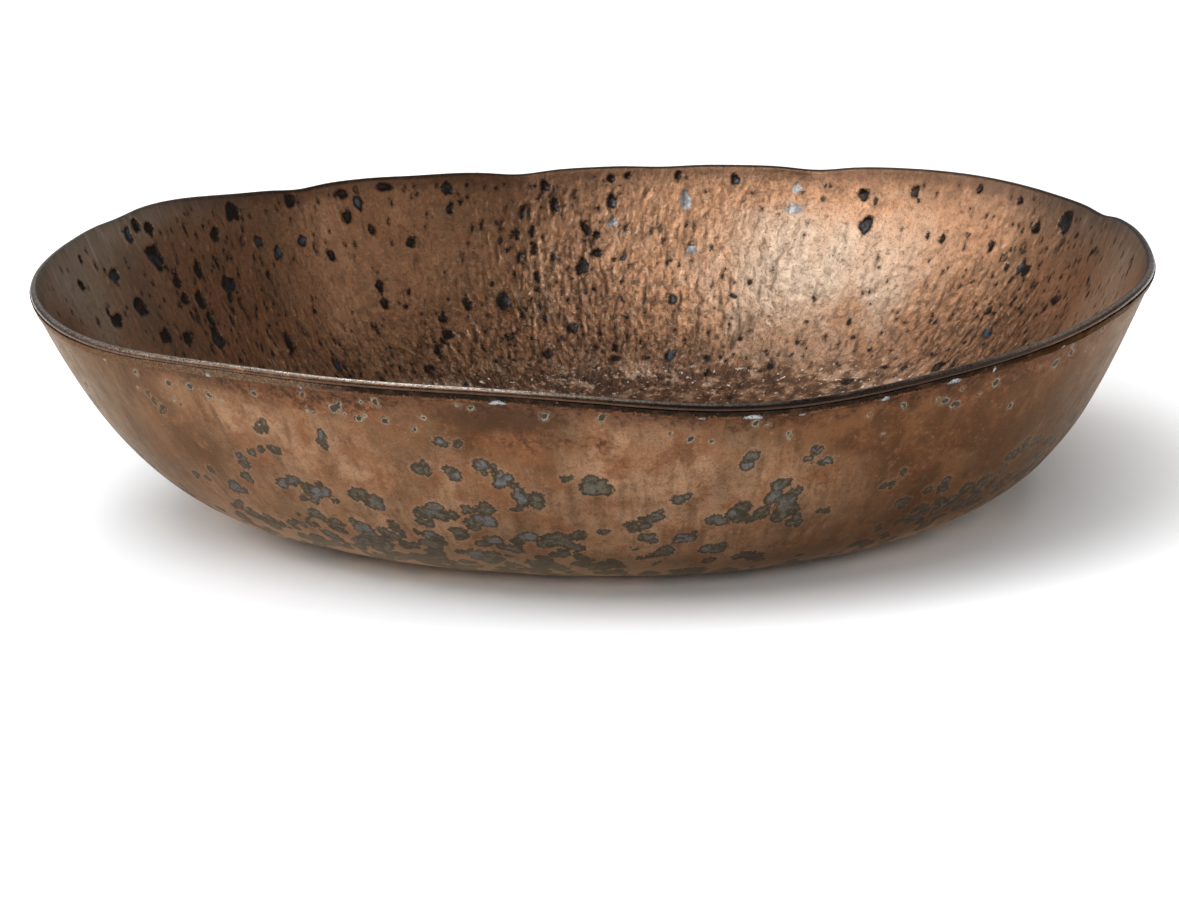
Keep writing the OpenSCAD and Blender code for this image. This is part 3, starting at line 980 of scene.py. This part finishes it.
def outer_copper():
    s = Shade("outer_copper")
    warm, pit, drop, tone = s.fields("warm", "pit", "drop", "tone")
    patches = s.noise(0.016, 4, 0.55, 0.8)
    spots = s.noise(0.12, 5, 0.7)
    flecks = s.noise(0.45, 4, 0.7, 0.5)
    streaks = s.noise(0.3, 4, 0.6, at=s.grain(0.22))
    pores = s.noise(1.4, 3, 0.65)
    dust = s.noise(2, 2, 0.6)
    # tan and dark brown by the field: patina, with painted light on the left and painted shade on the right
    patina_and_light_level = s.plus(warm, s.swing(patches, 2))
    s.colour = s.blend(s.ramp(patina_and_light_level, 0.1, 1), BARK, CLAY)
    s.lay(s.ramp(spots, 0.46, 0.66, 0, 0.7), RUSSET)
    s.lay(s.ramp(streaks, 0.45, 0.70, 0, 0.6), UMBER)
    s.lay(s.ramp(s.noise(0.045, 3), 0.48, 0.7, 0, 0.6), DRAB)
    s.lay(s.ramp(flecks, 0.50, 0.66, 0, 0.42), PEAT)
    s.lay(s.ramp(s.noise(0.06, 3, 0.6, 0.5), 0.46, 0.64, 0, 0.5), RUST)
    s.lay(s.ramp(flecks, 0.44, 0.30, 0, 0.25), STRAW)
    s.lay(s.ramp(pores, 0.52, 0.66, 0, 0.35), PORE)
    s.lay(s.ramp(dust, 0.45, 0.68, 0, 0.3), DUST)
    uneven = s.swing(spots, 1)
    flush = s.ramp(s.plus(s.field("grit"), s.times(uneven, 1.6)), 0.15, 0.7)
    flushed = s.blend(s.ramp(flecks, 0.40, 0.58), FLUSH, FLUSH_DARK)
    s.lay(s.times(flush, 0.75), flushed)
    stain_and_roll_highlight = s.ramp(s.plus(s.field("stain_and_roll_highlight"), uneven), 0.15, 0.8)
    s.lay(s.times(stain_and_roll_highlight, 0.8), STAIN)
    # darker just under the rim: dark patina, and a painted shadow under the band
    rim_patina_and_shadow = s.ramp(s.plus(drop, s.times(uneven, 18)), 9, 2)
    s.lay(s.times(rim_patina_and_shadow, 0.8), s.blend(s.ramp(flecks, 0.45, 0.6), RIM_BROWN, RIM_BLACK))
    veil = s.times(s.field("veil"), s.ramp(streaks, 0.35, 0.6, 0.65, 1), clamp=True)
    s.lay(s.times(veil, 0.8), s.blend(s.ramp(streaks, 0.4, 0.64), VEIL_LIGHT, VEIL_DARK))
    # paler towards the foot: pale growth, and painted light on the foot, which faces the shaded floor
    foot = s.ramp(s.plus(drop, s.times(uneven, 30)), 66, 104)
    s.lay(s.times(foot, 0.85), FOOT_PAINTED_LIGHT)
    edge = s.plus(pit, s.swing(s.noise(0.7, 4, 0.65), 4.2))
    halo = s.times(s.ramp(edge, -1.1, -0.35), s.ramp(edge, 0.1, -0.3))
    s.lay(s.times(halo, 0.2), HALO)
    fill = s.ramp(edge, -0.4, 0.4)
    core = s.times(s.ramp(edge, 0.25, 1.5), s.ramp(flecks, 0.56, 0.42, 0.15, 1))
    growth = s.blend(core, GROWTH_EDGE, GROWTH_CORE)
    bright = s.times(s.ramp(s.plus(tone, s.times(spots, 1.6)), 1.35, 1.8), s.ramp(edge, 0.5, 1.2))
    growth = s.blend(s.times(bright, s.ramp(pores, 0.6, 0.4, 0.2, 0.8)), growth, GROWTH_BLUE)
    # the growth is paler at the foot, partly painted light
    growth = s.blend(s.times(foot, 0.6), growth, GROWTH_LOW)
    s.lay(s.times(fill, 0.95), growth)
    ringed = s.ramp(tone, 1.5, 1.6)  # only the rings' tone is above this
    pale_ring = s.times(s.times(s.ramp(pit, -0.3, -0.1), s.ramp(pit, 0.3, 0.1)), ringed)
    s.lay(s.times(pale_ring, s.ramp(flecks, 0.38, 0.56, 0.1, 0.65)), RING_PALE)
    s.lay(s.times(s.ramp(pit, 0.15, 0.4), ringed), RING_DARK)
    rough = s.plus(s.ramp(spots, 0.3, 0.7, 0.34, 0.46), s.times(fill, 0.1))
    height = s.plus(s.times(pores, 0.4), s.times(streaks, 0.3))
    height = s.plus(height, s.plus(s.times(fill, 0.6), s.times(flecks, 0.7)))
    normal = s.bump(height, 0.17, 0.8)
    return s.finish(
        Base_Color=s.colour, Metallic=s.ramp(fill, 0, 1, 0.97, 0.8), Roughness=rough, Normal=normal,
        Specular_Tint=(0.92, 0.78, 0.67, 1),
    )


def band_copper():
    s = Shade("rim_band")
    spots = s.noise(0.2, 4, 0.65)
    fine = s.noise(1.3, 3, 0.6)
    s.colour = s.blend(s.ramp(spots, 0.45, 0.72), BAND_BLACK, BAND_BROWN)
    low = s.ramp(s.plus(s.field("drop"), s.swing(fine, 1.2)), 0.45, 0.8)
    low = s.times(low, s.ramp(s.field("warm"), -0.5, -0.1))
    s.lay(s.times(low, 0.75), s.blend(s.ramp(spots, 0.4, 0.6), BAND_RED, BAND_DARK))
    lightened = s.ramp(s.plus(s.field("warm"), s.minus(spots, 0.5)), 0.2, 0.8)
    s.lay(s.times(lightened, 0.85), s.blend(s.ramp(fine, 0.4, 0.6), BAND_LIGHT_BROWN, BAND_MID_BROWN))
    s.lay(s.ramp(fine, 0.66, 0.74, 0, 0.5), BAND_SPECK)
    flakes = s.ramp(s.plus(s.field("grit"), s.swing(fine, 1.4)), 0.45, 0.65)
    s.lay(flakes, s.blend(s.ramp(fine, 0.45, 0.6), FLAKE, FLAKE_DARK))
    normal = s.bump(s.plus(spots, s.times(fine, 0.3)), 0.2, 0.7)
    return s.finish(
        Base_Color=s.colour, Metallic=0.95, Roughness=s.ramp(fine, 0.3, 0.7, 0.26, 0.44), Normal=normal,
        Specular_Tint=(0.62, 0.5, 0.42, 1),
    )


def drawn_wire():
    s = Shade("rim_wire")
    lines = s.noise(2, 2, 0.5)
    s.colour = s.blend(s.ramp(lines, 0.35, 0.7), WIRE_LIGHT, WIRE_DARK)
    rough = s.ramp(lines, 0.3, 0.7, 0.22, 0.34)
    return s.finish(Base_Color=s.colour, Metallic=1.0, Roughness=rough, Normal=s.bump(lines, 0.03, 0.6))


def pale_floor():
    s = Shade("floor_paper")
    tint = s.blend(s.noise(0.004, 2), (0.90, 0.90, 0.90), (0.92, 0.92, 0.92))
    return s.finish(Base_Color=tint, Roughness=0.75, Specular_IOR_Level=0.2)


# ---- The object ----

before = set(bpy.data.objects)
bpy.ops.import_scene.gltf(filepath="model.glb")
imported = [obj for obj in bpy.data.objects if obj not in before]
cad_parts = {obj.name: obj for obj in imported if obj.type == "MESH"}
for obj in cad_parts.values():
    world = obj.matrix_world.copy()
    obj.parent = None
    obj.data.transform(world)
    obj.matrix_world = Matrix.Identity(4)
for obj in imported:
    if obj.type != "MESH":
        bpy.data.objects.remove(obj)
cad_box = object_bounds()
scene = bpy.context.scene
rng = np.random.default_rng(SEED)


def show(made, material, node):
    made.data.materials.append(material)
    scene.collection.objects.link(made)
    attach(made, "root")
    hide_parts(node)


inner_seen, inner_all = inner_grids()
paint_inner(inner_seen, rng)
inner_mesh, inner_points, inner = make_piece("inner_skin_pitted", inner_all)
add_grain(inner_mesh, inner_points)
show(inner, pitted_copper(), "inner_skin")

outer_seen, outer_all = outer_grids()
paint_outer(outer_seen, rng)
outer_mesh, outer_points, outer = make_piece("outer_skin_blotched", outer_all)
add_grain(outer_mesh, outer_points)
show(outer, outer_copper(), "outer_skin")

_, _, band = make_piece("rim_band_dark", band_grids(rng), closed=True)
show(band, band_copper(), "rim_band")

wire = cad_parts["rim_wire"]
wire.material_slots[0].material = drawn_wire()

# ---- Floor, light and camera ----

floor_mesh = bpy.data.meshes.new("floor")
floor_mesh.from_pydata([(-6, -4, 0), (6, -4, 0), (6, 8, 0), (-6, 8, 0)], [], [(0, 1, 2, 3)])
floor = bpy.data.objects.new("floor", floor_mesh)
floor_mesh.materials.append(pale_floor())
scene.collection.objects.link(floor)
floor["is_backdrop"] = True


def softbox(name, place, target, width, height, power, colour=(1, 1, 1)):
    lamp = bpy.data.lights.new(name, "AREA")
    lamp.shape = "RECTANGLE"
    lamp.size, lamp.size_y, lamp.energy, lamp.color = width, height, power, colour
    box = bpy.data.objects.new(name, lamp)
    box.location = place
    box.rotation_euler = (Vector(target) - Vector(place)).to_track_quat("-Z", "Y").to_euler()
    scene.collection.objects.link(box)
    return box


COOL = (0.97, 1.0, 1.03)
softbox("key_left", (-0.54, -0.77, 1.2), (0.03, 0.08, 0.04), 1.0, 0.8, 13.2, COOL)
softbox("side_left", (-1.35, -0.05, 0.72), (0.1, 0.05, 0.05), 0.8, 0.6, 7, COOL)
softbox("top_back", (-0.5, 0.85, 1.8), (0.03, 0.05, 0.02), 0.8, 0.6, 5, COOL)
softbox("fill_right", (1.4, -0.3, 0.75), (-0.05, 0.05, 0.04), 1.0, 0.8, 2.6)
overhead = softbox("overhead", (0.0, 0.2, 2.2), (0, 0, 0), 3.2, 2.6, 62)
front_low = softbox("front_low", (0.0, -2.4, 1.0), (0, 0, 0), 2.4, 1.0, 26)
for lamp in (overhead, front_low):
    lamp.visible_glossy = False  # they light the floor, and no strip of them shows in the metal

world = bpy.data.worlds.new("studio")
world.use_nodes = True
sky = world.node_tree.nodes["Background"]
sky.inputs["Color"].default_value = (1, 1, 1, 1)
sky.inputs["Strength"].default_value = 0.17
scene.world = world
scene.view_settings.view_transform = "Standard"

# where the camera stands, in metres around the bowl, and how it is turned from looking level along +Y
ELEVATION, DISTANCE, AIM_HEIGHT = math.radians(13), 1.6, 0.04
PITCH, YAW, ROLL = math.radians(1.05), math.radians(-0.36), math.radians(-1.35)
LENS = 141.5
down = ELEVATION + PITCH
ahead = Vector((math.sin(YAW) * math.cos(down), math.cos(YAW) * math.cos(down), -math.sin(down)))
right = ahead.cross(Vector((0, 0, 1))).normalized()
upward = right.cross(ahead)
tilted_right = math.cos(ROLL) * right + math.sin(ROLL) * upward
tilted_up = math.cos(ROLL) * upward - math.sin(ROLL) * right
turn = Matrix((tilted_right, tilted_up, -ahead)).transposed().to_4x4()
turn.translation = (0, -DISTANCE * math.cos(ELEVATION), DISTANCE * math.sin(ELEVATION) + AIM_HEIGHT)
camera = bpy.data.objects.new("camera", bpy.data.cameras.new("camera"))
camera.data.sensor_fit = "HORIZONTAL"
camera.data.sensor_width = 36
camera.data.lens = LENS
camera.data.clip_end = 100
camera.matrix_world = turn
scene.collection.objects.link(camera)
scene.camera = camera

boxes = {"cad_box": cad_box, "visual_box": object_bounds()}
{key: [[float(v) for v in corner] for corner in box] for key, box in boxes.items()}
